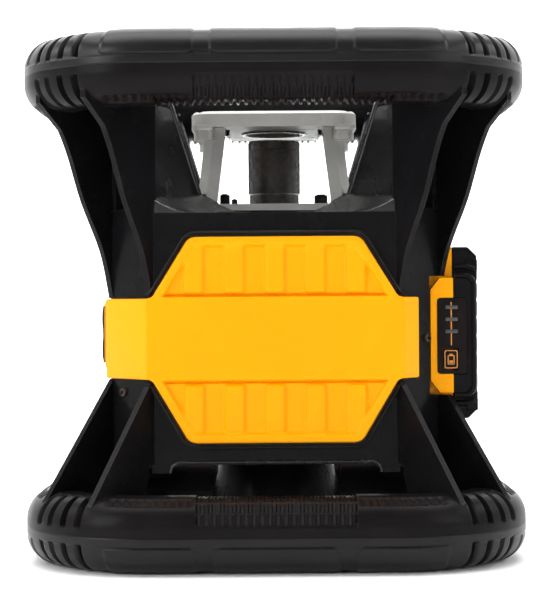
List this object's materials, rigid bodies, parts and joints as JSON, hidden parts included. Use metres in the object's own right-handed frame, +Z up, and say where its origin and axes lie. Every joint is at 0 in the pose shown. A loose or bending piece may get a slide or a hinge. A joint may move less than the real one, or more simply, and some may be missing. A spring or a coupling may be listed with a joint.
{
  "type": "rotating laser level",
  "caption": "Self-levelling rotating laser level in a roll cage of two rubber bumper rings, with a gimballed rotor in a glass lantern, a keypad and a slide-on battery pack.",
  "frame": {"origin": "on the standing surface under the middle of the case", "axes": "+Z up along the rotor's axis, +Y to the rear, +X towards the battery pack"},
  "size_m": [0.22, 0.22, 0.228],
  "materials": {
    "black_rubber": "fine matte overmould",
    "black_plastic": "lightly textured moulded plastic",
    "yellow_plastic": "satin moulded plastic",
    "cast_aluminium": "fine cast and blasted",
    "clear_glass": "clear coated glass",
    "steel": "turned steel",
    "brass": "turned brass",
    "machined_aluminium": "machined",
    "rotor_black": "satin black anodised look",
    "green_board": "circuit board",
    "cell_sleeve": "plastic sleeve",
    "seal_rubber": "soft rubber",
    "keypad_black": "satin overlay",
    "button_rubber": "silicone rubber",
    "gauge_dark": "dark translucent label plate"
  },
  "bodies": {
    "case": {"base_hub": "black_plastic", "base_struts": "black_plastic", "base_tripod_insert": "steel", "battery_dock": "black_plastic", "bottom_bumper_lower": "black_rubber", "bottom_bumper_upper": "black_rubber", "cage_post_front_left": "black_plastic", "cage_post_front_right": "black_plastic", "cage_post_rear_left": "black_plastic", "cage_post_rear_right": "black_plastic", "dock_terminals": "brass", "front_gasket": "seal_rubber", "front_panel": "yellow_plastic", "gimbal_base": "machined_aluminium", "gimbal_outer_pins": "steel", "head_frame": "cast_aluminium", "head_screws": "steel", "housing_screws": "steel", "keypad_bezel": "yellow_plastic", "keypad_pcb": "green_board", "keypad_plate": "keypad_black", "leveling_motors": "steel", "lower_housing": "black_plastic", "main_pcb": "green_board", "panel_screws": "steel", "rear_panel": "yellow_plastic", "rear_tripod_insert": "steel", "top_bumper_lower": "black_rubber", "top_bumper_upper": "black_rubber", "top_glass": "clear_glass", "upper_housing": "black_plastic", "window_panes": "clear_glass"},
    "gimbal": {"gimbal_ring": "machined_aluminium", "gimbal_inner_pins": "steel"},
    "bench": {"optical_bench": "rotor_black", "laser_module": "brass", "spindle_bearings": "steel", "drive_motor": "steel", "drive_belt": "seal_rubber"},
    "rotor": {"spindle": "steel", "rotor_head": "rotor_black", "rotor_cap": "rotor_black", "rotor_window": "clear_glass", "pentaprism": "clear_glass", "rotor_pulley": "machined_aluminium"},
    "motor_shaft": {"motor_pulley": "brass"},
    "plunger_x": {"leveling_plunger_x": "steel"},
    "plunger_y": {"leveling_plunger_y": "steel"},
    "pack": {"pack_upper_case": "yellow_plastic", "pack_lower_case": "black_plastic", "pack_cells": "cell_sleeve", "gauge_panel": "gauge_dark"},
    "latch": {"pack_latch": "black_plastic"},
    "gauge_key": {"gauge_button": "gauge_dark"},
    "key_speed": {"button_speed": "button_rubber"},
    "key_power": {"button_power": "button_rubber"},
    "key_scan": {"button_scan": "button_rubber"},
    "key_slope_left": {"button_slope_left": "button_rubber"},
    "key_manual": {"button_manual": "button_rubber"},
    "key_slope_right": {"button_slope_right": "button_rubber"}
  },
  "joints": [
    {"name": "gimbal_roll", "type": "hinge", "parent": "case", "child": "gimbal", "pos_m": [0, 0, 0.118], "axis": [0, 1, 0], "range_deg": [-5, 5]},
    {"name": "gimbal_pitch", "type": "hinge", "parent": "gimbal", "child": "bench", "pos_m": [0, 0, 0.118], "axis": [1, 0, 0], "range_deg": [-5, 5]},
    {"name": "rotor_spin", "type": "hinge", "parent": "bench", "child": "rotor", "pos_m": [0, 0, 0.17], "axis": [0, 0, 1], "continuous": true},
    {"name": "motor_spin", "type": "hinge", "parent": "bench", "child": "motor_shaft", "pos_m": [0, 0.024, 0.14], "axis": [0, 0, 1], "continuous": true},
    {"name": "level_x", "type": "slide", "parent": "case", "child": "plunger_x", "axis": [0, 0, 1], "range_m": [-0.0037, 0.0037]},
    {"name": "level_y", "type": "slide", "parent": "case", "child": "plunger_y", "axis": [0, 0, 1], "range_m": [-0.0037, 0.0037]},
    {"name": "pack_slide", "type": "slide", "parent": "case", "child": "pack", "axis": [0, 1, 0], "range_m": [0, 0.13]},
    {"name": "latch_press", "type": "slide", "parent": "pack", "child": "latch", "axis": [1, 0, 0], "range_m": [0, 0.0035], "stiffness_N_per_m": 800},
    {"name": "gauge_press", "type": "slide", "parent": "pack", "child": "gauge_key", "axis": [0, 1, 0], "range_m": [0, 0.0006], "stiffness_N_per_m": 600},
    {"name": "press_speed", "type": "slide", "parent": "case", "child": "key_speed", "axis": [1, 0, 0], "range_m": [0, 0.0008], "stiffness_N_per_m": 500},
    {"name": "press_power", "type": "slide", "parent": "case", "child": "key_power", "axis": [1, 0, 0], "range_m": [0, 0.0008], "stiffness_N_per_m": 500},
    {"name": "press_scan", "type": "slide", "parent": "case", "child": "key_scan", "axis": [1, 0, 0], "range_m": [0, 0.0008], "stiffness_N_per_m": 500},
    {"name": "press_slope_left", "type": "slide", "parent": "case", "child": "key_slope_left", "axis": [1, 0, 0], "range_m": [0, 0.0008], "stiffness_N_per_m": 500},
    {"name": "press_manual", "type": "slide", "parent": "case", "child": "key_manual", "axis": [1, 0, 0], "range_m": [0, 0.0008], "stiffness_N_per_m": 500},
    {"name": "press_slope_right", "type": "slide", "parent": "case", "child": "key_slope_right", "axis": [1, 0, 0], "range_m": [0, 0.0008], "stiffness_N_per_m": 500}
  ],
  "couplings": [
    {"joint": "motor_spin", "follows": "rotor_spin", "ratio": 3},
    {"joint": "level_x", "follows": "gimbal_roll", "m_per_rad": 0.04},
    {"joint": "level_y", "follows": "gimbal_pitch", "m_per_rad": -0.04}
  ]
}
